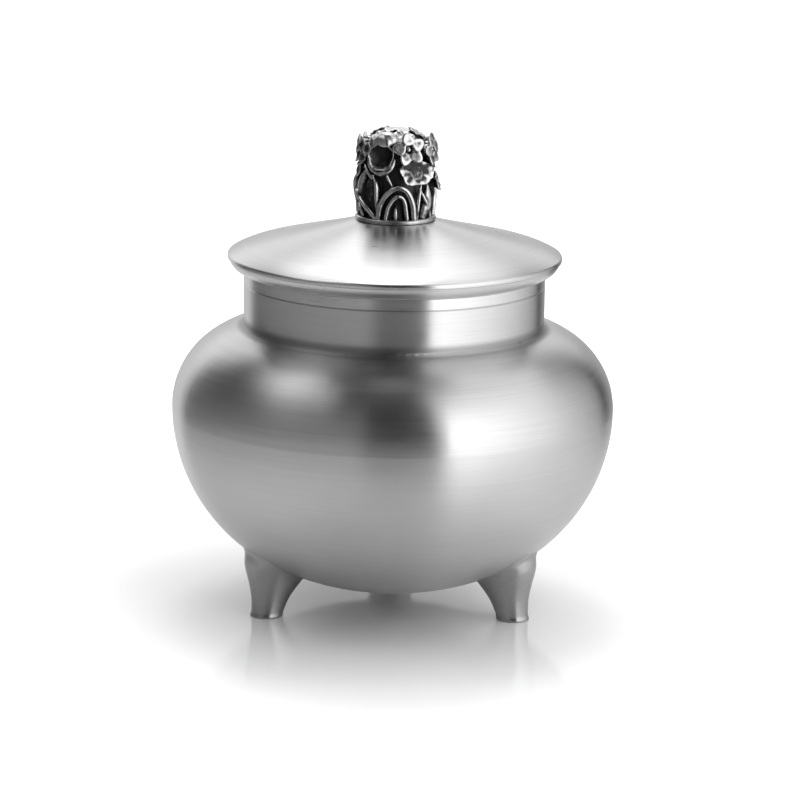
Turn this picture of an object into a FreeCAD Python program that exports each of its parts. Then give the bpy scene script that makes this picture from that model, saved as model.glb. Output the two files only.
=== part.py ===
import FreeCAD, Part
import math
import os

# A lidded sugar bowl in brushed pewter: a globular bowl on three cast feet, with a
# straight neck, and a spun lid whose knob is a casting of lotus leaves and flowers.
# Millimetres. +Z is up, the origin is on the bowl's axis in the plane it stands on,
# and the front faces -Y.

# Driving dimensions
BOWL_RADIUS = 50.0          # at its widest
WAIST_HEIGHT = 45.4         # height of that widest circle
SHOULDER_ARC = 18.6         # outer radii of the profile's three tangent arcs
BELLY_ARC = 39.7
BASE_ARC = 64.0
WALL = 1.4
NECK_RADIUS = 33.9
NECK_FILLET = 1.2           # soft inside corner between shoulder and neck
MOUTH_HEIGHT = 73.95        # top of the neck, where the lid's collar rests
SEAM_BREAK = 0.2            # small bevels along the seam between neck and lid

LID_RADIUS = 37.6
RIM_HEIGHT = 79.9           # height of the lid's sharp widest edge
COVER_FOOT = 76.65          # where the lid's rounded underside meets its collar
COVER_SEAT = 88.15          # flat that carries the knob's ring
COVER_WALL = 1.4
BEZEL_CLEARANCE = 0.3       # between the lid's bezel and the inside of the neck
BEZEL_WALL = 1.0
BEZEL_DEPTH = 8.0           # how far the bezel reaches into the neck

KNOB_RING_RADIUS = 9.1
KNOB_RING_TOP = 89.3
KNOB_CORE_RADIUS = 7.6
KNOB_LEAF_RADIUS = 9.0      # outer envelope of the leaves
KNOB_CORE_HEIGHT = 17.0
KNOB_HEIGHT = 20.2          # from the ring to the top of the highest leaf

SCREW_RADIUS = 2.0
SCREW_HOLE_PLAY = 0.1
SCREW_GRIP = 8.0            # length of thread inside the knob
SCREW_HEAD_RADIUS = 3.6
SCREW_HEAD_HEIGHT = 2.2
WASHER_RADIUS = 5.2
WASHER_THICKNESS = 0.8

FOOT_AZIMUTHS = {"foot_left": 210.0, "foot_right": 330.0, "foot_rear": 90.0}
# Height, distance of the section's middle from the bowl's axis, and the section's
# half widths across and along the bowl's edge
FOOT_SECTIONS = [
    (0.0, 32.2, 3.7, 3.7),
    (1.2, 32.05, 3.5, 3.55),
    (4.5, 31.3, 4.0, 4.4),
    (8.0, 29.9, 4.9, 6.4),
    (12.0, 29.2, 6.3, 8.3),
    (18.0, 29.0, 7.0, 9.2),
]

UP = FreeCAD.Vector(0, 0, 1)
ORIGIN = FreeCAD.Vector(0, 0, 0)


def at(radius, height):
    """A point of a turned profile, drawn in the XZ plane."""
    return FreeCAD.Vector(radius, 0, height)


def line(start, end):
    return Part.LineSegment(start, end).toShape()


def lines(points):
    return [line(start, end) for start, end in zip(points, points[1:])]


def arc(start, middle, end):
    return Part.Arc(start, middle, end).toShape()


def spline(points):
    curve = Part.BSplineCurve()
    curve.interpolate(points)
    return curve.toShape()


def turned(edges):
    """The solid of revolution of a closed profile."""
    wire = Part.Wire(Part.__sortEdges__(edges))
    return Part.Face(wire).revolve(ORIGIN, UP, 360)


def turned_polygon(corners):
    points = [at(radius, height) for radius, height in corners]
    return turned(lines(points + points[:1]))


def cylinder(radius, bottom, top):
    return Part.makeCylinder(radius, top - bottom, FreeCAD.Vector(0, 0, bottom), UP)


# ---- The bowl's profile, offset inwards by the wall for its inner face ----

def height_on_arc(centre, arc_radius, radius, side):
    """Height where a vertical at the given radius crosses the arc, above or below its centre."""
    reach = radius - centre[0]
    return centre[1] + side * math.sqrt(arc_radius ** 2 - reach ** 2)


SHOULDER_CENTRE = (BOWL_RADIUS - SHOULDER_ARC, WAIST_HEIGHT)
BELLY_CENTRE = (BOWL_RADIUS - BELLY_ARC, WAIST_HEIGHT)
BASE_CENTRE = (0.0, WAIST_HEIGHT + math.sqrt((BASE_ARC - BELLY_ARC) ** 2 - BELLY_CENTRE[0] ** 2))
BASE_TURN = math.asin(BELLY_CENTRE[0] / (BASE_ARC - BELLY_ARC))   # where base meets belly


def on_arc(centre, radius, angle):
    """Point of an arc at an angle measured up from the horizontal."""
    return at(centre[0] + radius * math.cos(angle), centre[1] + radius * math.sin(angle))


def lower_edges(inset):
    """Belly and base arcs, from the waist to the axis, moved inwards by the inset."""
    joint = BASE_TURN - math.pi / 2
    belly = arc(
        on_arc(BELLY_CENTRE, BELLY_ARC - inset, 0.0),
        on_arc(BELLY_CENTRE, BELLY_ARC - inset, joint / 2),
        on_arc(BELLY_CENTRE, BELLY_ARC - inset, joint),
    )
    base = arc(
        on_arc(BASE_CENTRE, BASE_ARC - inset, joint),
        on_arc(BASE_CENTRE, BASE_ARC - inset, (joint - math.pi / 2) / 2),
        on_arc(BASE_CENTRE, BASE_ARC - inset, -math.pi / 2),
    )
    return [belly, base]


def bowl_lower_shell():
    bottom = BASE_CENTRE[1] - BASE_ARC
    edges = lower_edges(0.0) + lower_edges(WALL)
    edges.append(line(at(0, bottom), at(0, bottom + WALL)))
    edges.append(line(at(BOWL_RADIUS - WALL, WAIST_HEIGHT), at(BOWL_RADIUS, WAIST_HEIGHT)))
    return turned(edges)


def neck_fillet_centre():
    """Centre of the fillet that touches the shoulder arc and the neck's outer cylinder."""
    radius = NECK_RADIUS + NECK_FILLET
    return (radius, height_on_arc(SHOULDER_CENTRE, SHOULDER_ARC + NECK_FILLET, radius, 1))


def bowl_upper_shell():
    """Shoulder with a short turned-up lip that the neck is soldered to."""
    fillet = neck_fillet_centre()
    slope = math.atan2(fillet[1] - SHOULDER_CENTRE[1], fillet[0] - SHOULDER_CENTRE[0])
    bore = NECK_RADIUS - WALL
    inner_arc = SHOULDER_ARC - WALL
    inner_top = height_on_arc(SHOULDER_CENTRE, inner_arc, bore, 1)
    inner_slope = math.acos((bore - SHOULDER_CENTRE[0]) / inner_arc)
    edges = [
        arc(
            on_arc(SHOULDER_CENTRE, SHOULDER_ARC, 0.0),
            on_arc(SHOULDER_CENTRE, SHOULDER_ARC, slope / 2),
            on_arc(SHOULDER_CENTRE, SHOULDER_ARC, slope),
        ),
        arc(
            on_arc(fillet, NECK_FILLET, slope + math.pi),
            on_arc(fillet, NECK_FILLET, slope / 2 + math.pi),
            on_arc(fillet, NECK_FILLET, math.pi),
        ),
        arc(
            on_arc(SHOULDER_CENTRE, inner_arc, 0.0),
            on_arc(SHOULDER_CENTRE, inner_arc, inner_slope / 2),
            at(bore, inner_top),
        ),
    ]
    edges += lines([at(bore, inner_top), at(bore, fillet[1]), at(NECK_RADIUS, fillet[1])])
    edges.append(line(at(BOWL_RADIUS - WALL, WAIST_HEIGHT), at(BOWL_RADIUS, WAIST_HEIGHT)))
    return turned(edges)


def neck_collar():
    bore = NECK_RADIUS - WALL
    bottom = neck_fillet_centre()[1]
    return turned_polygon([
        (bore, bottom),
        (NECK_RADIUS, bottom),
        (NECK_RADIUS, MOUTH_HEIGHT - SEAM_BREAK),
        (NECK_RADIUS - SEAM_BREAK, MOUTH_HEIGHT),
        (bore + SEAM_BREAK, MOUTH_HEIGHT),
        (bore, MOUTH_HEIGHT - SEAM_BREAK),
    ])


# ---- Feet ----

def oval_wire(height, distance, half_across, half_along):
    """A closed oval, level at the given height, centred on the +X side of the axis."""
    count = 16
    points = []
    for step in range(count):
        angle = 2 * math.pi * step / count
        points.append(FreeCAD.Vector(
            distance + half_across * math.cos(angle),
            half_along * math.sin(angle),
            height,
        ))
    curve = Part.BSplineCurve()
    curve.interpolate(Points=points, PeriodicFlag=True)
    return Part.Wire(curve.toShape())


def bowl_outline_solid():
    """The bowl's lower half with no hollow, for cutting the feet to its curve."""
    bottom = BASE_CENTRE[1] - BASE_ARC
    closing = lines([at(0, bottom), at(0, WAIST_HEIGHT), at(BOWL_RADIUS, WAIST_HEIGHT)])
    return turned(lower_edges(0.0) + closing)


def foot(azimuth):
    """A cast foot that spreads towards the bowl and fits its underside."""
    sections = [oval_wire(*section) for section in FOOT_SECTIONS]
    blank = Part.makeLoft(sections, True, False)
    fitted = blank.cut(bowl_outline_solid())
    # The blank's top comes out inside the bowl's outline, so one solid is left
    fitted = max(fitted.Solids, key=lambda solid: solid.Volume)
    fitted.rotate(ORIGIN, UP, azimuth)
    return fitted


# ---- Lid ----

def lid_cover():
    """Shallow ogee cover with a sharp edge over a rounded underside."""
    bezel_bore = NECK_RADIUS - WALL - BEZEL_CLEARANCE - BEZEL_WALL
    hole = SCREW_RADIUS + SCREW_HOLE_PLAY
    brow = at(LID_RADIUS - 0.3, RIM_HEIGHT + 0.6)
    lip = at(LID_RADIUS, RIM_HEIGHT)
    lip_foot = at(LID_RADIUS - 0.05, RIM_HEIGHT - 0.4)
    undercut = at(LID_RADIUS - 0.35, RIM_HEIGHT - 0.6)
    bead = at(LID_RADIUS - 1.2, COVER_FOOT + 1.15)
    bead_foot = at(NECK_RADIUS + 0.3, COVER_FOOT)
    inner_corner = at(bezel_bore, 81.4)
    inner_flat = at(KNOB_RING_RADIUS, COVER_SEAT - COVER_WALL)
    edges = [
        spline([
            at(KNOB_RING_RADIUS, COVER_SEAT),
            at(13.0, 87.1),
            at(18.0, 85.85),
            at(24.0, 84.45),
            at(30.0, 83.05),
            at(34.0, 81.95),
            brow,
        ]),
        arc(brow, at(LID_RADIUS - 0.07, RIM_HEIGHT + 0.33), lip),
        line(lip, lip_foot),
        line(lip_foot, undercut),
        arc(undercut, bead, bead_foot),
        line(bead_foot, at(bezel_bore, COVER_FOOT)),
        line(at(bezel_bore, COVER_FOOT), inner_corner),
        spline([inner_corner, at(24.0, 83.05), at(16.0, 84.9), inner_flat]),
        line(inner_flat, at(hole, COVER_SEAT - COVER_WALL)),
        line(at(hole, COVER_SEAT - COVER_WALL), at(hole, COVER_SEAT)),
        line(at(hole, COVER_SEAT), at(KNOB_RING_RADIUS, COVER_SEAT)),
    ]
    return turned(edges)


def lid_collar():
    """Band under the cover that rests on the neck and continues its outer face."""
    bore = NECK_RADIUS - WALL - BEZEL_CLEARANCE
    return turned_polygon([
        (bore, MOUTH_HEIGHT),
        (NECK_RADIUS - SEAM_BREAK, MOUTH_HEIGHT),
        (NECK_RADIUS, MOUTH_HEIGHT + SEAM_BREAK),
        (NECK_RADIUS, COVER_FOOT - SEAM_BREAK),
        (NECK_RADIUS - SEAM_BREAK, COVER_FOOT),
        (bore, COVER_FOOT),
    ])


def lid_bezel():
    """Strip ring inside the collar that centres the lid in the neck."""
    outer = NECK_RADIUS - WALL - BEZEL_CLEARANCE
    lead_in = 0.4
    bottom = MOUTH_HEIGHT - BEZEL_DEPTH
    return turned_polygon([
        (outer - BEZEL_WALL, bottom),
        (outer - lead_in, bottom),
        (outer, bottom + lead_in),
        (outer, COVER_FOOT),
        (outer - BEZEL_WALL, COVER_FOOT),
    ])


# ---- Knob and its fastening ----

def knob_ring():
    """Turned disc with a rounded edge under the casting."""
    hole = SCREW_RADIUS + SCREW_HOLE_PLAY
    straight = KNOB_RING_RADIUS - 0.45
    middle = (COVER_SEAT + KNOB_RING_TOP) / 2
    edges = lines([
        at(straight, COVER_SEAT),
        at(hole, COVER_SEAT),
        at(hole, KNOB_RING_TOP),
        at(straight, KNOB_RING_TOP),
    ])
    edges.append(arc(at(straight, KNOB_RING_TOP), at(KNOB_RING_RADIUS, middle), at(straight, COVER_SEAT)))
    return turned(edges)


def relief(face, azimuth, outer_radius):
    """A flat outline, drawn facing +Y, pressed out of the knob's core as a curved pad."""
    block = face.extrude(FreeCAD.Vector(0, 2 * KNOB_LEAF_RADIUS, 0))
    ring = cylinder(outer_radius, KNOB_RING_TOP, KNOB_RING_TOP + KNOB_HEIGHT)
    ring = ring.cut(cylinder(KNOB_CORE_RADIUS - 1.0, KNOB_RING_TOP, KNOB_RING_TOP + KNOB_HEIGHT))
    pad = block.common(ring)
    pad.rotate(ORIGIN, UP, azimuth - 90.0)
    return pad


def blade_face(base_x, base_h, tip_x, tip_h, width):
    """A lance-shaped leaf between two points."""
    start = at(base_x, KNOB_RING_TOP + base_h)
    end = at(tip_x, KNOB_RING_TOP + tip_h)
    along = (end - start).normalize()
    across = FreeCAD.Vector(along.z, 0, -along.x) * (width / 2)
    middle = (start + end) * 0.5
    return Part.Face(Part.Wire([
        arc(start, middle + across, end),
        arc(end, middle - across, start),
    ]))


def arch_face(half_width, height, band):
    """A leaf bent over into an arch, with both legs on the ring."""
    def outline(inset):
        half = half_width - inset
        spring = height - half_width
        return Part.Face(Part.Wire([
            line(at(-half, KNOB_RING_TOP), at(half, KNOB_RING_TOP)),
            line(at(half, KNOB_RING_TOP), at(half, KNOB_RING_TOP + spring)),
            arc(
                at(half, KNOB_RING_TOP + spring),
                at(0, KNOB_RING_TOP + spring + half),
                at(-half, KNOB_RING_TOP + spring),
            ),
            line(at(-half, KNOB_RING_TOP + spring), at(-half, KNOB_RING_TOP)),
        ]))
    return outline(0.0).cut(outline(band)).Faces[0]


def disc_face(height, radius):
    centre = FreeCAD.Vector(0, 0, KNOB_RING_TOP + height)
    return Part.Face(Part.Wire(Part.makeCircle(radius, centre, FreeCAD.Vector(0, 1, 0))))


def flower(azimuth, height, radius, outer_radius):
    """Five round petals about a button, raised from the core."""
    petals = []
    for step in range(5):
        turn = math.radians(90 + 72 * step)
        offset = FreeCAD.Vector(radius * math.cos(turn), 0, radius * math.sin(turn))
        petal = disc_face(height, 0.62 * radius)
        petal.translate(offset)
        petals.append(relief(petal, azimuth, outer_radius))
    petals.append(relief(disc_face(height, 0.55 * radius), azimuth, outer_radius - 0.4))
    return petals


def round_leaf(azimuth, distance, radius, top):
    """A leaf seen from above, lying on top of the knob."""
    turn = math.radians(azimuth)
    centre = FreeCAD.Vector(distance * math.cos(turn), distance * math.sin(turn), 0)
    bottom = KNOB_RING_TOP + KNOB_CORE_HEIGHT - 2.0
    leaf = Part.makeCylinder(radius, KNOB_RING_TOP + top - bottom, centre + UP * bottom, UP)
    return leaf.common(cylinder(KNOB_LEAF_RADIUS, bottom, KNOB_RING_TOP + top))


def knob_casting():
    """Core with arched leaves, blades, round leaves and flowers, tapped for the screw."""
    core = cylinder(KNOB_CORE_RADIUS, KNOB_RING_TOP, KNOB_RING_TOP + KNOB_CORE_HEIGHT)
    pieces = []
    for turn in (0.0, 120.0, 240.0):
        front = 270.0 + turn
        pieces.append(relief(arch_face(3.8, 7.3, 1.1), front, KNOB_LEAF_RADIUS - 0.2))
        pieces.append(relief(arch_face(2.4, 5.3, 0.9), front, KNOB_LEAF_RADIUS - 0.6))
        pieces.append(relief(blade_face(-2.5, 0.6, 2.0, 12.0, 4.0), front - 50.0, KNOB_LEAF_RADIUS))
        pieces.append(relief(blade_face(2.5, 0.4, -1.0, 8.0, 2.4), front + 45.0, KNOB_LEAF_RADIUS - 0.3))
        pieces.append(relief(blade_face(-2.0, 0.4, 3.0, 8.0, 1.8), front + 58.0, KNOB_LEAF_RADIUS - 0.5))
        pieces.append(relief(disc_face(10.4, 3.2), front + 30.0, KNOB_LEAF_RADIUS - 0.1))
        pieces += flower(front + 20.0, 15.6, 1.75, KNOB_LEAF_RADIUS)
        pieces.append(round_leaf(front - 22.0, 5.4, 3.4, KNOB_HEIGHT - 1.0))
        pieces.append(round_leaf(front + 62.0, 6.0, 2.9, KNOB_HEIGHT - 2.2))
    pieces.append(round_leaf(250.0, 6.2, 2.4, KNOB_HEIGHT))
    casting = core.multiFuse(pieces).removeSplitter()
    return casting.cut(cylinder(SCREW_RADIUS, KNOB_RING_TOP, KNOB_RING_TOP + SCREW_GRIP))


def screw_head_top():
    return COVER_SEAT - COVER_WALL - WASHER_THICKNESS


def knob_washer():
    hole = SCREW_RADIUS + SCREW_HOLE_PLAY
    bottom = screw_head_top()
    top = COVER_SEAT - COVER_WALL
    return cylinder(WASHER_RADIUS, bottom, top).cut(cylinder(hole, bottom, top))


def knob_screw():
    """Slotted screw driven up through washer, cover and ring into the knob."""
    top = screw_head_top()
    bottom = top - SCREW_HEAD_HEIGHT
    crown = 0.7
    edges = lines([
        at(SCREW_HEAD_RADIUS, bottom + crown),
        at(SCREW_HEAD_RADIUS, top),
        at(SCREW_RADIUS, top),
        at(SCREW_RADIUS, KNOB_RING_TOP + SCREW_GRIP),
        at(0, KNOB_RING_TOP + SCREW_GRIP),
        at(0, bottom),
    ])
    edges.append(arc(
        at(0, bottom),
        at(SCREW_HEAD_RADIUS / 2, bottom + crown / 4),
        at(SCREW_HEAD_RADIUS, bottom + crown),
    ))
    slot_width = 0.9
    slot_depth = 1.1
    slot = Part.makeBox(
        3 * SCREW_HEAD_RADIUS,
        slot_width,
        slot_depth,
        FreeCAD.Vector(-1.5 * SCREW_HEAD_RADIUS, -slot_width / 2, bottom),
    )
    return turned(edges).cut(slot)


def all_parts():
    parts = {
        "bowl_lower_shell": bowl_lower_shell(),
        "bowl_upper_shell": bowl_upper_shell(),
        "neck_collar": neck_collar(),
        "lid_cover": lid_cover(),
        "lid_collar": lid_collar(),
        "lid_bezel": lid_bezel(),
        "knob_ring": knob_ring(),
        "knob_casting": knob_casting(),
        "knob_washer": knob_washer(),
        "knob_screw": knob_screw(),
    }
    for name, azimuth in FOOT_AZIMUTHS.items():
        parts[name] = foot(azimuth)
    return parts


def main():
    os.makedirs("parts", exist_ok=True)
    for name, shape in all_parts().items():
        solids = shape.Solids
        if len(solids) != 1 or not shape.isValid():
            raise ValueError(f"{name}: {len(solids)} solids, valid {shape.isValid()}")
        solids[0].exportStep(f"parts/{name}.step")
        box = solids[0].BoundBox
        print(f"{name:18s} {solids[0].Volume:10.1f} mm3  z {box.ZMin:7.2f} to {box.ZMax:7.2f}")


main()
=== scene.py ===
import math

import bpy
import numpy as np
from mathutils import Matrix, Vector


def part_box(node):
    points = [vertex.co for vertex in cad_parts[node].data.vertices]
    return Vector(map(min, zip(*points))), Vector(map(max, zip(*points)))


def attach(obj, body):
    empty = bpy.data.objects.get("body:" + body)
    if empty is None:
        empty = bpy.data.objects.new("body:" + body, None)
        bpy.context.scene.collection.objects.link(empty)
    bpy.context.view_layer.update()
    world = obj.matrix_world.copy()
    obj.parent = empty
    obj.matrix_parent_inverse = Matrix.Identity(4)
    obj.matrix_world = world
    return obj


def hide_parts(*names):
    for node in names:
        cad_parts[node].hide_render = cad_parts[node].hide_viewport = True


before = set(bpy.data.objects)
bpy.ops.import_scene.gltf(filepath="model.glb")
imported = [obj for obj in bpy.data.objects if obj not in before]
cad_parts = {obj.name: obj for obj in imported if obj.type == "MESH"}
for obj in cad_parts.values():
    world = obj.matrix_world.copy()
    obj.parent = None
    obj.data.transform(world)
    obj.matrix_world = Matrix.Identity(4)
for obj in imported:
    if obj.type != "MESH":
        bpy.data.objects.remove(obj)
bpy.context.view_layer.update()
MM = 0.001


# ---------------------------------------------------------------- shader helpers

NOISE_SPREAD = (0.3, 0.7)   # where nearly all of a noise texture's values lie


class Graph:
    """A node tree with short calls for the nodes that the materials share."""

    def __init__(self, tree):
        self.tree = tree
        tree.nodes.clear()

    def add(self, kind, inputs=None, **settings):
        node = self.tree.nodes.new(kind)
        for name, value in settings.items():
            setattr(node, name, value)
        for key, value in (inputs or {}).items():
            self.feed(node.inputs[key], value)
        return node

    def feed(self, socket, value):
        if isinstance(value, bpy.types.NodeSocket):
            self.tree.links.new(value, socket)
        else:
            socket.default_value = value

    def math(self, operation, *values):
        node = self.add("ShaderNodeMath", operation=operation)
        for socket, value in zip(node.inputs, values):
            self.feed(socket, value)
        return node.outputs[0]

    def remap(self, value, low, high, to_low=0.0, to_high=1.0, smooth=False):
        curve = "SMOOTHSTEP" if smooth else "LINEAR"
        return self.add("ShaderNodeMapRange", {
            "Value": value,
            "From Min": low,
            "From Max": high,
            "To Min": to_low,
            "To Max": to_high,
        }, interpolation_type=curve).outputs["Result"]

    def vary(self, value, low, high):
        """A noise value spread from low to high."""
        return self.remap(value, *NOISE_SPREAD, low, high)

    def window(self, value, low, high, soft):
        """1 between low and high, falling smoothly to 0 over the soft width at each end."""
        rise = self.remap(value, low - soft / 2, low + soft / 2, smooth=True)
        fall = self.remap(value, high - soft / 2, high + soft / 2, 1.0, 0.0, smooth=True)
        return self.math("MULTIPLY", rise, fall)

    def noise(self, vector, scale, detail=2.0, roughness=0.5):
        return self.add("ShaderNodeTexNoise", {
            "Vector": vector,
            "Scale": scale,
            "Detail": detail,
            "Roughness": roughness,
        }).outputs["Fac"]

    def combine(self, x, y, z):
        node = self.add("ShaderNodeCombineXYZ")
        for socket, value in zip(node.inputs, (x, y, z)):
            self.feed(socket, value)
        return node.outputs[0]

    def separate(self, vector):
        node = self.add("ShaderNodeSeparateXYZ")
        self.feed(node.inputs[0], vector)
        return node.outputs

    def metal(self, shade, roughness, relief, strength, depth, brushing=0.0):
        """Ends the tree in a grey metal with a fine relief; brushing is how far its lights spread."""
        bump = self.add("ShaderNodeBump", {"Strength": strength, "Distance": depth, "Height": relief})
        inputs = {
            "Base Color": self.combine(shade, shade, shade),
            "Metallic": 1.0,
            "Roughness": roughness,
            "Normal": bump.outputs[0],
        }
        if brushing:
            inputs["Anisotropic"] = brushing
            inputs["Anisotropic Rotation"] = 0.25
            tangent = self.add("ShaderNodeTangent", direction_type="RADIAL", axis="Z")
            inputs["Tangent"] = tangent.outputs[0]
        shader = self.add("ShaderNodeBsdfPrincipled", inputs)
        self.add("ShaderNodeOutputMaterial", {"Surface": shader.outputs[0]})


def new_material(name):
    material = bpy.data.materials.new(name)
    material.use_nodes = True
    return material, Graph(material.node_tree)


def object_coordinates(graph):
    return graph.separate(graph.add("ShaderNodeTexCoord").outputs["Object"])


def turned_coordinates(graph):
    """Radius, height and angle about the bowl's axis, in metres and radians, and the plain x, y, z."""
    x, y, z = object_coordinates(graph)
    squares = graph.math("ADD", graph.math("MULTIPLY", x, x), graph.math("MULTIPLY", y, y))
    radius = graph.math("SQRT", squares)
    angle = graph.math("ARCTAN2", y, x)
    return radius, z, angle, (x, y, z)


def mesh_object(name, points, faces, smooth=False):
    mesh = bpy.data.meshes.new(name)
    mesh.from_pydata(points, [], faces)
    for polygon in mesh.polygons:
        polygon.use_smooth = smooth
    obj = bpy.data.objects.new(name, mesh)
    bpy.context.scene.collection.objects.link(obj)
    return obj


# ---------------------------------------------------------------- materials

CORNER_HEIGHT = 64.3 * MM   # the inside corner between shoulder and neck, darkened there as painted shade and made duller
CORNER_RADIUS = 34.4 * MM
CORNER_REACH = 1.6 * MM
CORNER_PAINTED_SHADE = 0.66
CORNER_DULLNESS = 0.15
FINE_RINGS = 9000.0         # brush marks per metre of profile
BROAD_RINGS = 1400.0
EDGE_RINGS = 6000.0         # tool marks per metre of the knob's ring
FACE_RINGS = 12000.0        # and of the screw and washer
SCRATCH_STRETCH = 14.0      # how much longer than high the feet's scratches are
HEIGHT_WEIGHT = 1.7         # of height against radius, in the distance along the profile


def brushed_pewter(name, tone, roughness=0.33):
    """Satin pewter, brushed on a lathe: fine rings about the axis, broken up along their length."""
    material, graph = new_material(name)
    radius, height, angle, (x, y, z) = turned_coordinates(graph)
    across = graph.math("ADD", radius, graph.math("MULTIPLY", height, HEIGHT_WEIGHT))
    arc_x = graph.math("COSINE", angle)
    arc_y = graph.math("SINE", angle)
    fine_across = graph.math("MULTIPLY", across, FINE_RINGS)
    broad_across = graph.math("MULTIPLY", across, BROAD_RINGS)
    fine = graph.noise(graph.combine(fine_across, arc_x, arc_y), scale=1.0, detail=3.0, roughness=0.6)
    broad = graph.noise(graph.combine(broad_across, arc_x, arc_y), scale=1.3, detail=2.0)
    cloud = graph.noise(graph.combine(x, y, z), scale=38.0, detail=3.0)
    grain = graph.math("ADD", graph.math("MULTIPLY", fine, 0.65), graph.math("MULTIPLY", broad, 0.35))
    # Painted shade: the colour is darkened in the crease between shoulder and neck, which is also made
    # duller.
    crease_shade_and_dullness = graph.math(
        "MULTIPLY",
        graph.window(height, CORNER_HEIGHT - CORNER_REACH, CORNER_HEIGHT + CORNER_REACH, CORNER_REACH),
        graph.remap(radius, CORNER_RADIUS + CORNER_REACH, CORNER_RADIUS, smooth=True),
    )
    shade = graph.math("MULTIPLY", tone, graph.vary(grain, 0.92, 1.07))
    shade = graph.math("MULTIPLY", shade, graph.vary(cloud, 0.97, 1.03))
    shade = graph.math("MULTIPLY", shade, graph.remap(crease_shade_and_dullness, 0.0, 1.0, 1.0, CORNER_PAINTED_SHADE))
    dullness = graph.math("ADD", graph.vary(broad, -0.025, 0.025), roughness)
    dullness = graph.math("ADD", graph.vary(cloud, -0.02, 0.02), dullness)
    dullness = graph.math("ADD", graph.remap(crease_shade_and_dullness, 0.0, 1.0, 0.0, CORNER_DULLNESS), dullness)
    graph.metal(shade, dullness, broad, strength=0.08, depth=0.03 * MM, brushing=0.88)
    return material


def cast_pewter(name, tone):
    """Cast metal dressed by hand: soft mottling under scratches that run round the foot."""
    material, graph = new_material(name)
    x, y, z = object_coordinates(graph)
    skin = graph.noise(graph.combine(x, y, z), scale=700.0, detail=4.0, roughness=0.6)
    level = graph.math("MULTIPLY", z, SCRATCH_STRETCH)
    scratches = graph.noise(graph.combine(x, y, level), scale=420.0, detail=3.0, roughness=0.6)
    shade = graph.math("MULTIPLY", tone, graph.vary(skin, 0.92, 1.05))
    shade = graph.math("MULTIPLY", shade, graph.vary(scratches, 0.96, 1.03))
    relief = graph.math("ADD", skin, graph.math("MULTIPLY", scratches, 0.8))
    dullness = graph.vary(scratches, 0.3, 0.37)
    graph.metal(shade, dullness, relief, strength=0.1, depth=0.04 * MM, brushing=0.75)
    return material


def turned_ring(name, tone):
    """A turned disc, tarnished in patches like the casting above it."""
    material, graph = new_material(name)
    radius, height, angle, (x, y, z) = turned_coordinates(graph)
    level = graph.math("MULTIPLY", height, EDGE_RINGS)
    rings = graph.noise(graph.combine(level, radius, angle), scale=1.0, detail=3.0, roughness=0.6)
    tarnish = graph.noise(graph.combine(x, y, z), scale=260.0, detail=4.0, roughness=0.6)
    shade = graph.math("MULTIPLY", tone, graph.remap(tarnish, 0.35, 0.65, 0.6, 1.1))
    shade = graph.math("MULTIPLY", shade, graph.vary(rings, 0.93, 1.05))
    dullness = graph.vary(tarnish, 0.36, 0.27)
    graph.metal(shade, dullness, tarnish, strength=0.15, depth=0.03 * MM)
    return material


def fastener_steel(name, tone):
    """Turned steel: fine rings on the faces and faint stains."""
    material, graph = new_material(name)
    radius, height, _, (x, y, z) = turned_coordinates(graph)
    across = graph.math("MULTIPLY", graph.math("ADD", radius, height), FACE_RINGS)
    rings = graph.noise(graph.combine(across, 0.0, 0.0), scale=1.0, detail=2.0)
    stains = graph.noise(graph.combine(x, y, z), scale=500.0, detail=4.0, roughness=0.6)
    shade = graph.math("MULTIPLY", tone, graph.vary(stains, 0.85, 1.05))
    graph.metal(shade, graph.vary(stains, 0.22, 0.34), rings, strength=0.12, depth=0.02 * MM)
    return material


def paint(material, *nodes):
    """Gives CAD nodes a material in every slot that they have."""
    for name in nodes:
        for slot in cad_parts[name].material_slots:
            slot.material = material


# ---------------------------------------------------------------- knob casting

KNOB_VOXEL = 0.17 * MM
ROD_SIDES = 12
STEPS_BETWEEN_STATIONS = 8
DISH_LEVELS = (0.04, 0.3, 0.55, 0.75, 0.9, 0.98, 1.0)   # rings of a petal, as shares of its size
CORE_SIDES = 48
# height and radius up the solid middle of the knob, in mm
CORE_PROFILE = (
    (0.0, 7.7),
    (0.5, 7.3),
    (12.5, 7.2),
    (15.5, 6.9),
    (17.1, 6.0),
    (18.0, 4.6),
    (18.4, 2.8),
    (18.6, 1.0),
)
WEAR_EVERYWHERE = 0.24
WEAR_ON_RIDGES = 2.6        # per mm that the metal stands proud
WEAR_OUTSIDE = 0.28         # per mm beyond the radius below
WEAR_RADIUS = 8.0           # mm
# upward faces made brighter: painted light from above, beside rubbing
WEAR_AND_LIGHT_ON_TOP = 0.24
CROWN_REACH = 3.6           # mm; near the top, height counts instead of radius, so the top is made brighter, partly as painted light from above
CROWN_RISE = 0.33           # per mm of height
knob_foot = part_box("knob_casting")[0][2]


def knob_point(turn, height, radius):
    """A place on the knob: degrees to the right of its front, mm above its foot, mm from its axis."""
    a = math.radians(turn)
    return Vector((radius * math.sin(a) * MM, -radius * math.cos(a) * MM, knob_foot + height * MM))


def knob_outward(turn, tilt=0.0):
    """The direction away from the axis, tilted up by some degrees."""
    a = math.radians(turn)
    t = math.radians(tilt)
    return Vector((math.sin(a) * math.cos(t), -math.cos(a) * math.cos(t), math.sin(t)))


def smooth_path(points, steps):
    """Even steps along a Catmull-Rom curve through the points."""
    ends = [points[0] * 2 - points[1]] + list(points) + [points[-1] * 2 - points[-2]]
    path = []
    for i in range(len(points) - 1):
        a, b, c, d = ends[i:i + 4]
        for k in range(steps):
            t = k / steps
            path.append(0.5 * (2 * b + (c - a) * t + (2 * a - 5 * b + 4 * c - d) * t * t
                               + (3 * b - 3 * c + d - a) * t * t * t))
    path.append(points[-1])
    return path


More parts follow.
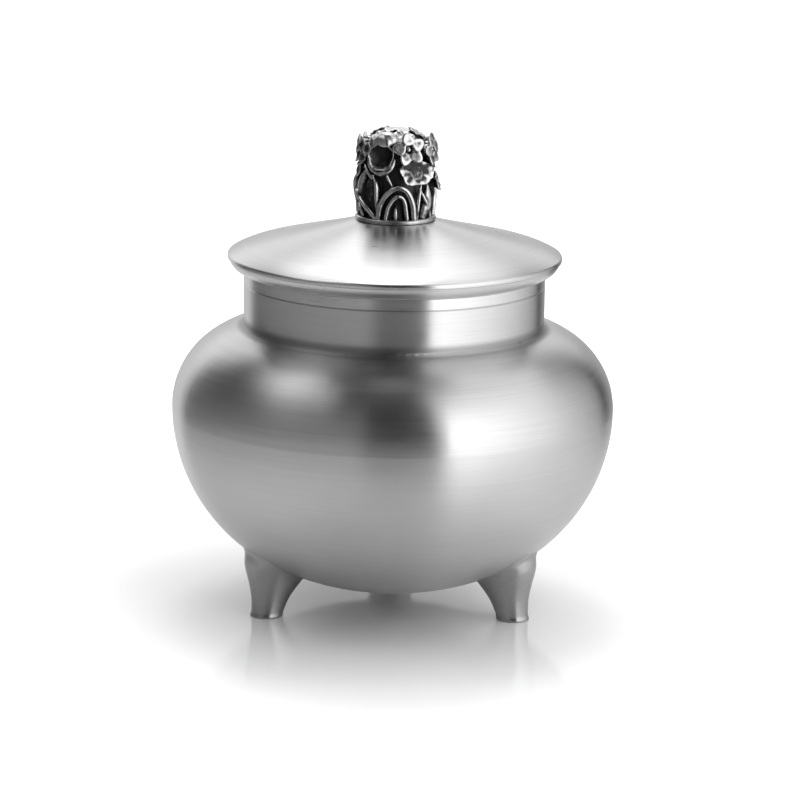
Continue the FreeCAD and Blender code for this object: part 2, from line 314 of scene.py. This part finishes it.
class Shapes:
    """Closed shapes gathered into one mesh, to be fused by a voxel remesh."""

    def __init__(self):
        self.points = []
        self.faces = []

    def skin(self, rings):
        """A closed shape from rings of points, with a fan over each end."""
        start = len(self.points)
        count = len(rings[0])
        last = start + (len(rings) - 1) * count
        for ring in rings:
            self.points.extend(ring)
        for i in range(len(rings) - 1):
            for j in range(count):
                a = start + i * count + j
                b = start + i * count + (j + 1) % count
                self.faces.append((a, b, b + count, a + count))
        for ring_start, ring, flip in ((start, rings[0], True), (last, rings[-1], False)):
            middle = len(self.points)
            self.points.append(sum(ring, Vector()) / count)
            for j in range(count):
                edge = (ring_start + j, ring_start + (j + 1) % count, middle)
                self.faces.append(edge[::-1] if flip else edge)

    def stem(self, stations, width, thick=None, taper=0.35, swell=0.0):
        """A rod or blade through (turn, height, radius) stations, its half width and thickness in mm."""
        thick = width if thick is None else thick
        path = smooth_path([knob_point(*station) for station in stations], STEPS_BETWEEN_STATIONS)
        rings = []
        for i, point in enumerate(path):
            share = i / (len(path) - 1)
            size = 1.0 + swell * math.sin(math.pi * share) - (1.0 - taper) * share ** 3
            along = (path[min(i + 1, len(path) - 1)] - path[max(i - 1, 0)]).normalized()
            outward = Vector((point.x, point.y, 0.0)).normalized()
            side = along.cross(outward).normalized()
            outward = side.cross(along)
            rings.append([
                point + side * (math.cos(t) * width * size * MM)
                + outward * (math.sin(t) * thick * size * MM)
                for t in (2 * math.pi * k / ROD_SIDES for k in range(ROD_SIDES))
            ])
        self.skin(rings)

    def peg(self, centre, facing, radius, depth=2.6):
        """A short stalk that joins a petal or leaf to the middle of the knob."""
        across = facing.cross(Vector((0, 0, 1))).normalized()
        along = across.cross(facing)
        rings = []
        for distance in (-depth, 0.0):
            rings.append([
                centre + MM * (facing * distance + across * (radius * math.cos(t))
                               + along * (radius * math.sin(t)))
                for t in (-2 * math.pi * k / ROD_SIDES for k in range(ROD_SIDES))
            ])
        self.skin(rings)

    def dish(self, centre, facing, long_way, size, cup=0.0, thick=0.45, lobes=0, scallop=0.0,
             veins=0, ruffle=0.0):
        """A petal or leaf: a cupped lens, which may have a scalloped rim and radial veins."""
        facing = facing.normalized()
        across = facing.cross(long_way).normalized()
        along = across.cross(facing)
        rings = []
        spokes = max(16, 6 * lobes, 6 * veins)
        for side, share in [(1, s) for s in DISH_LEVELS] + [(-1, s) for s in DISH_LEVELS[-2::-1]]:
            ring = []
            for k in range(spokes):
                t = 2 * math.pi * k / spokes
                rim = 1.0 + scallop * math.cos(lobes * t)
                lift = cup * share * share + side * thick * math.sqrt(max(0.0, 1.0 - share * share))
                lift += ruffle * share * (math.cos(veins * t) + 0.9 * math.sin(0.5 * (veins + 1) * t))
                ring.append(centre + MM * (
                    along * (size[0] * share * rim * math.cos(t))
                    + across * (size[1] * share * rim * math.sin(t))
                    + facing * lift
                ))
            rings.append(ring)
        self.skin(rings)


def arch(shapes, turn):
    """Two nested looped stems with a small blade between their feet."""
    shapes.stem([(turn - 30, 0.0, 8.0), (turn - 24, 3.4, 8.4), (turn - 12, 6.1, 8.6),
                 (turn + 2, 7.3, 8.7), (turn + 15, 6.5, 8.8), (turn + 24, 3.7, 8.7),
                 (turn + 28, 0.0, 8.4)], 0.66, 0.8, taper=0.95)
    shapes.stem([(turn - 17, 0.0, 8.0), (turn - 12, 2.8, 8.4), (turn - 4, 4.8, 8.6),
                 (turn + 4, 5.4, 8.7), (turn + 12, 4.2, 8.6), (turn + 17, 0.0, 8.3)],
                0.5, 0.7, taper=0.95)
    shapes.stem([(turn - 1, 0.0, 7.6), (turn - 1, 1.6, 7.9), (turn - 1, 3.0, 7.5)], 0.5, 0.5)


def lance_leaf(shapes, turn, lean=1.0):
    """A broad blade with a raised rib, and the stem that it hangs from."""
    shapes.stem([(turn - 2 * lean, 0.4, 7.3), (turn - 9 * lean, 4.4, 7.6), (turn - 6 * lean, 8.0, 7.6),
                 (turn - 8 * lean, 10.6, 7.2)], 1.1, 0.45, taper=0.4, swell=1.0)
    shapes.stem([(turn + 4 * lean, 0.8, 7.8), (turn + 5 * lean, 4.5, 8.5), (turn + 5 * lean, 7.6, 8.8),
                 (turn - 4 * lean, 9.8, 8.1)], 0.38, 0.6, taper=0.5, swell=0.5)
    shapes.stem([(turn - 4 * lean, 8.8, 8.1), (turn - 14 * lean, 10.4, 8.3),
                 (turn - 28 * lean, 12.4, 8.0)], 0.45, 0.6)


def flower(shapes, turn, height, size, radius=8.6, tilt=4.0):
    """Five cupped petals, spread apart, round a small boss."""
    facing = knob_outward(turn, tilt)
    middle = knob_point(turn, height, radius)
    across = facing.cross(Vector((0, 0, 1))).normalized()
    upward = across.cross(facing)
    for k in range(5):
        a = 2 * math.pi * (k + 0.1) / 5
        reach = across * math.cos(a) + upward * math.sin(a)
        leaning = facing + reach * (0.35 * math.sin(5 * a + k))
        shapes.dish(middle + reach * (size * 0.68 * MM), leaning, reach, (size * 0.47, size * 0.43),
                    cup=size * 0.1, thick=0.5, lobes=3, scallop=0.08)
    shapes.peg(middle - facing * (0.7 * MM), facing, 0.5 * size)
    shapes.dish(middle - facing * (0.3 * MM), facing, upward, (size * 0.17, size * 0.17), thick=0.5)


def lotus_leaf(shapes, turn, height, size, radius=8.5, tilt=16.0, lobes=5):
    """A wide ruffled leaf with radial veins, its lower lip standing out."""
    facing = knob_outward(turn, tilt)
    shapes.dish(knob_point(turn, height, radius - 0.7), facing, Vector((0, 0, 1)), size,
                cup=0.5, thick=0.5, lobes=lobes, scallop=0.08, veins=2 * lobes - 1, ruffle=0.12)
    shapes.peg(knob_point(turn, height, radius), facing, 0.55 * min(size))


def trumpet(shapes, turn, height):
    """A curled leaf: a hollow that opens outwards, with a thick rolled cap over it."""
    mouth = knob_outward(turn, 14.0)
    shapes.dish(knob_point(turn, height - 0.2, 6.5), mouth, Vector((0, 0, 1)), (3.2, 3.1),
                cup=2.6, thick=0.6, lobes=5, scallop=0.05)
    shapes.dish(knob_point(turn + 1, height + 4.4, 6.7), knob_outward(turn + 1, 60.0),
                knob_outward(turn + 91), (2.9, 2.4), cup=-0.7, thick=1.1, lobes=5, scallop=0.07)
    shapes.stem([(turn - 23, height + 0.6, 8.2), (turn - 15, height - 1.9, 8.7),
                 (turn, height - 3.0, 8.8), (turn + 14, height - 1.9, 8.7), (turn + 20, height, 8.2)],
                0.75, 0.45, taper=0.6, swell=0.3)
    shapes.peg(knob_point(turn + 1, height + 4.0, 6.2), knob_outward(turn + 1, 42.0), 1.6)


def blades(shapes, turn, lean=1.0):
    """Crossing blades that fan out from the foot."""
    shapes.stem([(turn - 8 * lean, 0.0, 8.0), (turn - 6 * lean, 4.0, 8.4),
                 (turn + lean, 8.2, 8.2)], 0.5, 0.7)
    shapes.stem([(turn + 26 * lean, 0.0, 8.0), (turn + 10 * lean, 3.4, 8.5),
                 (turn - 4 * lean, 7.2, 8.2)], 0.5, 0.7)
    shapes.stem([(turn + 6 * lean, 0.0, 7.8), (turn + 15 * lean, 3.4, 8.1),
                 (turn + 20 * lean, 7.4, 7.9)], 0.8, 0.6, swell=0.9)


def tuft(shapes, turn, height, count=3):
    """Small petals crowded together."""
    for k in range(count):
        angle = turn + (k - (count - 1) / 2) * 14
        facing = knob_outward(angle + 12, 25 - 14 * (k % 2))
        spot = knob_point(angle, height + 0.8 * (k % 2), 8.1)
        shapes.dish(spot, facing, Vector((0, 0, 1)), (1.5, 1.2),
                    cup=0.5, thick=0.4, lobes=4, scallop=0.1)
        shapes.peg(spot, facing, 0.7)


def knob_core(shapes):
    """The solid middle, domed at the top."""
    shapes.skin([
        [knob_point(-360 * k / CORE_SIDES, height, radius) for k in range(CORE_SIDES)]
        for height, radius in CORE_PROFILE
    ])


def rosette(shapes):
    """The top: five ruffled leaves round three smaller ones."""
    for k in range(5):
        turn = 72 * k + 20
        spot = knob_point(turn, 17.7 + 0.4 * (k % 2), 4.3)
        shapes.dish(spot, knob_outward(turn, 60), knob_outward(turn + 90), (2.5, 2.2),
                    cup=0.5, thick=0.5, lobes=5, scallop=0.08, veins=7, ruffle=0.12)
    for k in range(3):
        turn = 120 * k + 50
        shapes.dish(knob_point(turn, 18.8, 1.6), knob_outward(turn, 76), knob_outward(turn + 90),
                    (1.8, 1.6), cup=0.4, thick=0.5, lobes=4, scallop=0.1)


def knob_leaves(shapes):
    """The front as photographed, then the same growth carried on round the sides and the back."""
    arch(shapes, 1)
    lance_leaf(shapes, -34)
    shapes.stem([(-31, 0.0, 8.3), (-50, 2.8, 8.8), (-78, 5.2, 8.7), (-100, 6.2, 8.0)],
                0.6, 0.7, taper=0.7)
    shapes.stem([(-60, 0.2, 8.0), (-70, 2.2, 8.3), (-90, 3.2, 7.8)], 0.5, 0.6)
    shapes.stem([(-18, 10.9, 8.0), (-12, 9.3, 8.3), (-5, 7.4, 8.3)], 0.42, 0.6)
    shapes.stem([(-62, 3.4, 7.8), (-66, 7.0, 8.0), (-58, 10.6, 7.8)], 0.8, 0.7, swell=0.8)
    trumpet(shapes, -23, 13.7)
    tuft(shapes, -66, 15.2)
    tuft(shapes, -78, 13.0)
    tuft(shapes, -88, 9.2, 2)
    flower(shapes, 19, 15.8, 3.3)
    flower(shapes, 68, 14.9, 3.0, radius=8.4)
    lotus_leaf(shapes, 33, 10.5, (3.1, 4.3))
    tuft(shapes, 74, 11.4, 2)
    blades(shapes, 42)
    lotus_leaf(shapes, 86, 7.6, (2.3, 2.0), radius=9.6)

    arch(shapes, 118)
    lance_leaf(shapes, 160, -1.0)
    flower(shapes, 112, 14.8, 3.0)
    lotus_leaf(shapes, 146, 11.6, (2.6, 3.4))
    tuft(shapes, 146, 15.2, 4)
    trumpet(shapes, 178, 12.0)
    blades(shapes, 194, -1.0)
    flower(shapes, 212, 14.6, 3.0)
    arch(shapes, 228)
    lotus_leaf(shapes, 234, 10.4, (2.5, 3.6))
    tuft(shapes, 246, 15.6, 4)
    lance_leaf(shapes, 264)
    tuft(shapes, 196, 9.6)


def fused(name, shapes):
    """One watertight mesh from overlapping shapes."""
    obj = mesh_object(name, shapes.points, shapes.faces)
    rough = obj.data
    remesh = obj.modifiers.new("fuse", "REMESH")
    remesh.mode = "VOXEL"
    remesh.voxel_size = KNOB_VOXEL
    soften = obj.modifiers.new("soften", "SMOOTH")
    soften.factor = 0.5
    soften.iterations = 3
    depsgraph = bpy.context.evaluated_depsgraph_get()
    obj.data = bpy.data.meshes.new_from_object(obj.evaluated_get(depsgraph))
    obj.modifiers.clear()
    bpy.data.meshes.remove(rough)
    for polygon in obj.data.polygons:
        polygon.use_smooth = True
    return obj


def mark_wear_and_top_light(mesh, passes=24):
    """Stores how bright each vertex is made: 0 in hollows, 1 on ridges that stand out, rubbed bright,
    and on faces turned up and the top, which get painted light from above.
    """
    points = np.empty(len(mesh.vertices) * 3)
    mesh.vertices.foreach_get("co", points)
    points = points.reshape(-1, 3)
    normals = np.empty(len(mesh.vertices) * 3)
    mesh.vertices.foreach_get("normal", normals)
    normals = normals.reshape(-1, 3)
    edges = np.empty(len(mesh.edges) * 2, dtype=int)
    mesh.edges.foreach_get("vertices", edges)
    edges = edges.reshape(-1, 2)
    neighbours = np.bincount(edges.ravel(), minlength=len(points))[:, None]
    smooth = points.copy()
    for _ in range(passes):
        total = np.zeros_like(smooth)
        np.add.at(total, edges[:, 0], smooth[edges[:, 1]])
        np.add.at(total, edges[:, 1], smooth[edges[:, 0]])
        smooth = total / neighbours
    proud = ((points - smooth) * normals).sum(axis=1) / MM
    radius = np.hypot(points[:, 0], points[:, 1]) / MM
    reach = np.maximum(radius, CROWN_REACH + (points[:, 2] - knob_foot) / MM * CROWN_RISE)
    # Ridges that stand out are rubbed bright; the top and faces turned up are made brighter as painted
    # light from above.
    wear_and_top_light = WEAR_EVERYWHERE + proud * WEAR_ON_RIDGES
    wear_and_top_light += (reach - WEAR_RADIUS) * WEAR_OUTSIDE + normals[:, 2] * WEAR_AND_LIGHT_ON_TOP
    attribute = mesh.attributes.new("wear_and_top_light", "FLOAT", "POINT")
    attribute.data.foreach_set("value", np.clip(wear_and_top_light, 0.0, 1.0).astype(np.float32))


def antiqued_pewter(name):
    """Blackened casting with the high places rubbed bright, and painted light on its top and upward
    faces.
    """
    material, graph = new_material(name)
    x, y, z = object_coordinates(graph)
    mottle = graph.noise(graph.combine(x, y, z), scale=1500.0, detail=4.0, roughness=0.6)
    blotch = graph.noise(graph.combine(x, y, z), scale=620.0, detail=2.0)
    # the stored brightness: rubbed wear, with painted light on the top and upward faces
    wear_and_top_light = graph.add("ShaderNodeAttribute", attribute_name="wear_and_top_light").outputs["Fac"]
    wear_and_top_light = graph.math("ADD", wear_and_top_light, graph.vary(mottle, -0.12, 0.12))
    wear_and_top_light = graph.math("ADD", wear_and_top_light, graph.vary(blotch, -0.14, 0.14))
    bright = graph.remap(wear_and_top_light, 0.42, 0.95, smooth=True)
    shade = graph.remap(bright, 0.0, 1.0, 0.045, 0.62)
    dullness = graph.remap(bright, 0.0, 1.0, 0.5, 0.27)
    graph.metal(shade, dullness, mottle, strength=0.25, depth=0.06 * MM)
    return material


def make_knob():
    shapes = Shapes()
    knob_core(shapes)
    knob_leaves(shapes)
    rosette(shapes)
    knob = fused("knob_leaves", shapes)
    mark_wear_and_top_light(knob.data)
    knob.data.materials.append(antiqued_pewter("antiqued_casting"))
    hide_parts("knob_casting")
    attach(knob, "lid")


# ---------------------------------------------------------------- feet

WAIST_HEIGHT = 45.4 * MM    # the middle of the arcs that make up the bowl's underside
BELLY_ARC = 39.7 * MM
BELLY_CENTRE = 10.3 * MM
FOOT_ANGLES = {"foot_left": 210.0, "foot_right": 330.0, "foot_rear": 90.0}
# height, distance of the middle from the bowl's axis, half width across, half width outward, in mm
FOOT_STATIONS = (
    (0.0, 32.05, 3.5, 3.6),
    (0.2, 32.05, 3.65, 3.75),
    (1.2, 31.8, 3.55, 3.7),
    (4.5, 30.95, 4.0, 4.6),
    (8.0, 29.8, 4.9, 6.4),
    (12.0, 29.0, 6.1, 8.1),
    (15.0, 28.7, 6.5, 8.2),
    (18.0, 28.5, 6.6, 8.1),
)
TOE_HEIGHTS = [0.0, 0.07, 0.2]          # mm, close together for the rounded toe
LEG_HEIGHTS = [0.5 + 0.25 * k for k in range(71)]
FOOT_SIDES = 72
FOOT_FILLET = 0.35 * MM
FOOT_BURIED = 0.7 * MM      # how far the foot reaches into the bowl's wall


def above_bowl(point):
    """Distance of a point outside the bowl's underside, negative inside."""
    radius = math.hypot(point.x, point.y)
    return math.hypot(radius - BELLY_CENTRE, WAIST_HEIGHT - point.z) - BELLY_ARC


def foot_station(height):
    """The foot's middle and half widths at a height, on a smooth curve through the stations."""
    last = len(FOOT_STATIONS) - 1
    i = next(k for k in range(last) if height <= FOOT_STATIONS[k + 1][0])
    before, low, high, after = (FOOT_STATIONS[min(max(k, 0), last)] for k in range(i - 1, i + 3))
    span = high[0] - low[0]
    t = (height - low[0]) / span
    values = []
    for k in (1, 2, 3):
        slope_low = (high[k] - before[k]) / max(high[0] - before[0], 1e-6) * span
        slope_high = (after[k] - low[k]) / max(after[0] - low[0], 1e-6) * span
        values.append(
            (2 * t ** 3 - 3 * t ** 2 + 1) * low[k] + (t ** 3 - 2 * t ** 2 + t) * slope_low
            + (3 * t ** 2 - 2 * t ** 3) * high[k] + (t ** 3 - t ** 2) * slope_high
        )
    return values


def foot_point(base, side):
    """A point of the foot's skin, flared into the fillet and stopped inside the bowl's wall."""
    gap = max(above_bowl(base + side), 0.0)
    point = base + side + side.normalized() * (FOOT_FILLET * math.exp(-gap / FOOT_FILLET))
    depth = -above_bowl(point) - FOOT_BURIED
    if depth > 0.0:
        radius = math.hypot(point.x, point.y)
        share = (radius - BELLY_CENTRE) / radius
        down = Vector((point.x * share, point.y * share, point.z - WAIST_HEIGHT))
        point += down.normalized() * depth
    return point


def foot_ring(outward, across, height):
    middle, half_across, half_outward = foot_station(height)
    base = outward * (middle * MM) + Vector((0.0, 0.0, height * MM))
    ring = []
    for k in range(FOOT_SIDES):
        t = 2 * math.pi * k / FOOT_SIDES
        side = outward * (half_outward * math.cos(t) * MM) + across * (half_across * math.sin(t) * MM)
        ring.append(foot_point(base, side))
    return ring


def make_foot(name, material):
    """A cast foot with a softly rounded toe and a small fillet where it is soldered to the bowl."""
    angle = math.radians(FOOT_ANGLES[name])
    outward = Vector((math.cos(angle), math.sin(angle), 0.0))
    across = Vector((-math.sin(angle), math.cos(angle), 0.0))
    shapes = Shapes()
    shapes.skin([foot_ring(outward, across, height) for height in TOE_HEIGHTS + LEG_HEIGHTS])
    foot = mesh_object(name + "_cast", shapes.points, shapes.faces, smooth=True)
    foot.data.materials.append(material)
    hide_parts(name)
    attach(foot, "bowl")


# ---------------------------------------------------------------- stage

MIRRORED_TABLE = 0.20       # m, how far from the axis the table shows in the metal
GLOW_FROM = 0.01            # m from the axis: outside this the table has a painted glow
GLOW_FULL = 0.14
TABLE_PAINTED_GLOW = 0.6
TABLE_EDGE = 4.4            # m, near enough to be seen whole from any side
LIT_HEIGHT = 0.02 * MM      # of the part with the painted glow above the mirrored one
BACKDROP_RADIUS = 4.5
BACKDROP_RINGS = 24
BACKDROP_SIDES = 48
WHITE = (1.0, 1.0, 1.0, 1.0)
ACRYLIC_WHITE = (0.93, 0.93, 0.93, 1.0)
WASH_SIZE = 2.4
WASH_POWER = 7.8            # watts
WASH_PLACE = (0.0, 0.3, 1.6)


def circle(radius, height, sides):
    turns = (2 * math.pi * i / sides for i in range(sides))
    return [(radius * math.cos(t), radius * math.sin(t), height) for t in turns]


def ring_mesh(name, inner, outer, height=0.0, sides=128):
    """A flat ring on the ground, or a disc where the inner radius is 0."""
    points = circle(outer, height, sides)
    if inner == 0:
        faces = [tuple(range(sides))]
    else:
        points += circle(inner, height, sides)
        faces = [(i, (i + 1) % sides, sides + (i + 1) % sides, sides + i) for i in range(sides)]
    obj = mesh_object(name, points, faces)
    return obj


def acrylic(name, glow):
    """Glossy white acrylic with a painted glow that rises away from the bowl, so that painted shade
    stays near it.
    """
    material, graph = new_material(name)
    radius, _, _, (x, y, z) = turned_coordinates(graph)
    haze = graph.noise(graph.combine(x, y, z), scale=30.0, detail=2.0)
    shader = graph.add("ShaderNodeBsdfPrincipled", {
        "Base Color": ACRYLIC_WHITE,
        "Roughness": graph.vary(haze, 0.1, 0.13),
        "Emission Color": WHITE,
        # painted glow: none near the bowl and rising outwards, which leaves a painted shade round the
        # bowl
        "Emission Strength": graph.remap(radius, GLOW_FROM, GLOW_FULL, 0.0, glow, smooth=True),
    })
    graph.add("ShaderNodeOutputMaterial", {"Surface": shader.outputs[0]})
    return material


def make_floor():
    """The table. Its outer part, lit by the lamp and given a painted glow, is seen by the camera, and
    isn't mirrored in the metal.
    """
    table = ring_mesh("table", 0.0, MIRRORED_TABLE)
    table.data.materials.append(acrylic("white_acrylic", 0.0))
    painted_glow_table = ring_mesh("table_painted_glow", GLOW_FROM, TABLE_EDGE, height=LIT_HEIGHT)
    painted_glow_table.data.materials.append(acrylic("acrylic_painted_glow", TABLE_PAINTED_GLOW))
    painted_glow_table.visible_glossy = False
    painted_glow_table.visible_diffuse = False
    painted_glow_table.visible_shadow = False
    return table, painted_glow_table


# The studio as the bowl sees it, in degrees: azimuth 0 is towards the camera and + to its right.
# name: (first and last azimuth), (lowest and highest elevation), softness of the edges,
# (brightness at the first and last azimuth)
SOFTBOXES = {
    "key": ((27.0, 140.0), (-25.0, 42.0), 4.0, (2.4, 0.3)),
    "key_high": ((27.0, 140.0), (42.0, 72.0), 6.0, (0.9, 1.2)),
    "behind_top": ((154.0, 208.0), (60.0, 78.0), 4.0, (1.2, 1.6)),
    "behind_strip": ((167.0, 195.0), (54.0, 78.0), 8.0, (3.3, 3.3)),
    "behind_high": ((155.0, 207.0), (38.0, 60.0), 4.0, (2.2, 3.0)),
    "behind_mid": ((152.0, 220.0), (12.0, 38.0), 16.0, (0.95, 1.15)),
    "behind_low": ((150.0, 220.0), (-25.0, 12.0), 16.0, (0.3, 0.85)),
    "left_high": ((-140.0, -80.0), (46.0, 68.0), 10.0, (0.15, 2.3)),
    "left_edge": ((-80.0, -45.0), (46.0, 68.0), 5.0, (0.8, 0.65)),
    "left_mid": ((-145.0, -15.0), (12.0, 46.0), 8.0, (0.0, 0.18)),
    "left_low": ((-145.0, -15.0), (-25.0, 12.0), 8.0, (0.1, 0.31)),
}
ELEVATION_SOFTNESS = 12.0
ROOM_LEVEL = 0.02


def softbox(graph, azimuth, elevation, box):
    """The brightness that one softbox adds in each direction."""
    (first, last), (lowest, highest), soft, (at_first, at_last) = box
    middle = (first + last) / 2
    half = (last - first) / 2
    offset = graph.math("WRAP", graph.math("SUBTRACT", azimuth, middle), 180.0, -180.0)
    shape = graph.math(
        "MULTIPLY",
        graph.window(offset, -half, half, soft),
        graph.window(elevation, lowest, highest, ELEVATION_SOFTNESS),
    )
    return graph.math("MULTIPLY", shape, graph.remap(offset, -half, half, at_first, at_last))


def make_world():
    world = bpy.data.worlds.new("studio")
    bpy.context.scene.world = world
    world.use_nodes = True
    graph = Graph(world.node_tree)
    x, y, z = graph.separate(graph.add("ShaderNodeTexCoord").outputs["Generated"])
    azimuth = graph.math("DEGREES", graph.math("ARCTAN2", x, graph.math("MULTIPLY", y, -1.0)))
    elevation = graph.math("DEGREES", graph.math("ARCSINE", z))
    level = ROOM_LEVEL
    for box in SOFTBOXES.values():
        level = graph.math("ADD", level, softbox(graph, azimuth, elevation, box))
    background = graph.add("ShaderNodeBackground", {"Color": graph.combine(level, level, level)})
    graph.add("ShaderNodeOutputWorld", {"Surface": background.outputs[0]})


def make_backdrop():
    """A white shell that only the camera sees, so that the studio's lights stay out of the picture."""
    points = []
    for i in range(BACKDROP_RINGS + 1):
        tilt = math.pi * i / BACKDROP_RINGS
        radius = BACKDROP_RADIUS * math.sin(tilt)
        points += circle(radius, BACKDROP_RADIUS * math.cos(tilt), BACKDROP_SIDES)
    faces = []
    for i in range(BACKDROP_RINGS):
        for j in range(BACKDROP_SIDES):
            a = i * BACKDROP_SIDES + j
            b = i * BACKDROP_SIDES + (j + 1) % BACKDROP_SIDES
            faces.append((a, b, b + BACKDROP_SIDES, a + BACKDROP_SIDES))
    shell = mesh_object("backdrop", points, faces)
    material, graph = new_material("backdrop_white")
    glow = graph.add("ShaderNodeEmission", {"Color": WHITE, "Strength": 1.0})
    graph.add("ShaderNodeOutputMaterial", {"Surface": glow.outputs[0]})
    shell.data.materials.append(material)
    shell.visible_diffuse = False
    shell.visible_glossy = False
    shell.visible_transmission = False
    shell.visible_shadow = False


def make_overhead(floor_objects):
    """A broad light for the table alone."""
    data = bpy.data.lights.new("table_wash", "AREA")
    data.shape = "DISK"
    data.size = WASH_SIZE
    data.energy = WASH_POWER
    lamp = bpy.data.objects.new("table_wash", data)
    lamp.location = WASH_PLACE
    bpy.context.scene.collection.objects.link(lamp)
    receivers = bpy.data.collections.new("table_only")
    for obj in floor_objects:
        receivers.objects.link(obj)
    lamp.light_linking.receiver_collection = receivers


# ---------------------------------------------------------------- camera

CAMERA_DISTANCE = 0.740     # m from the bowl's axis, along the ground
CAMERA_HEIGHT = 0.2203
CAMERA_LENS = 150.66        # mm, on a 36 mm sensor
CAMERA_PITCH = -13.219      # degrees
CAMERA_YAW = 0.128          # degrees, to the right
CAMERA_ROLL = 0.887         # degrees


def make_camera():
    data = bpy.data.cameras.new("camera")
    data.lens = CAMERA_LENS
    data.sensor_width = 36.0
    data.clip_start = 0.01
    data.clip_end = 100.0
    camera = bpy.data.objects.new("camera", data)
    bpy.context.scene.collection.objects.link(camera)
    pitch, yaw, roll = (math.radians(a) for a in (CAMERA_PITCH, CAMERA_YAW, CAMERA_ROLL))
    ahead = Vector((math.sin(yaw) * math.cos(pitch), math.cos(yaw) * math.cos(pitch), math.sin(pitch)))
    level_right = ahead.cross(Vector((0, 0, 1))).normalized()
    level_up = level_right.cross(ahead)
    right = level_right * math.cos(roll) + level_up * math.sin(roll)
    up = level_up * math.cos(roll) - level_right * math.sin(roll)
    turn = Matrix((right, up, -ahead)).transposed().to_4x4()
    camera.matrix_world = Matrix.Translation((0, -CAMERA_DISTANCE, CAMERA_HEIGHT)) @ turn
    bpy.context.scene.camera = camera


# ---------------------------------------------------------------- assembly

body_pewter = brushed_pewter("brushed_body", 0.595)
lid_pewter = brushed_pewter("brushed_lid", 0.64, roughness=0.3)
foot_pewter = cast_pewter("cast_foot", 0.42)
paint(body_pewter, "bowl_lower_shell", "bowl_upper_shell", "neck_collar")
paint(lid_pewter, "lid_cover", "lid_collar", "lid_bezel")
paint(turned_ring("turned_ring", 0.5), "knob_ring")
paint(fastener_steel("fastener_steel", 0.55), "knob_washer", "knob_screw")
for foot_name in FOOT_ANGLES:
    make_foot(foot_name, foot_pewter)
make_knob()

make_camera()
make_world()
make_backdrop()
make_overhead(make_floor())

bpy.context.scene.view_settings.view_transform = "Standard"
